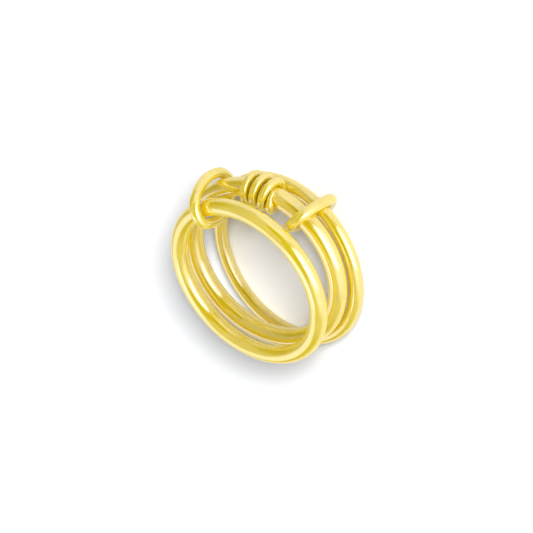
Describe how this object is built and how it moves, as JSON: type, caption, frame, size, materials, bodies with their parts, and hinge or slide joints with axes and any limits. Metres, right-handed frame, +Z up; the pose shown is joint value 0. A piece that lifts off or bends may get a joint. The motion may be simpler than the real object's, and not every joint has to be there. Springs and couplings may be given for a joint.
{
  "type": "finger ring",
  "caption": "Finger ring of loose round-wire bands held side by side by oval links, with a wire wound round the middle band.",
  "frame": {"origin": "on the surface that the ring lies on, below the middle of its overall box", "axes": "+Z up, about along the finger hole, +X across the bands, -Y towards the side with the wire wrap and the links"},
  "size_m": [0.0234, 0.0238, 0.0117],
  "materials": {
    "gold_band": "gold plated, polished to a mirror shine",
    "gold_wire": "gold plated, polished to a mirror shine"
  },
  "bodies": {
    "root": {"front_band": "gold_band", "middle_band": "gold_band", "back_band": "gold_band", "wire_wrap": "gold_wire", "front_link": "gold_wire", "back_link": "gold_wire"}
  },
  "joints": []
}
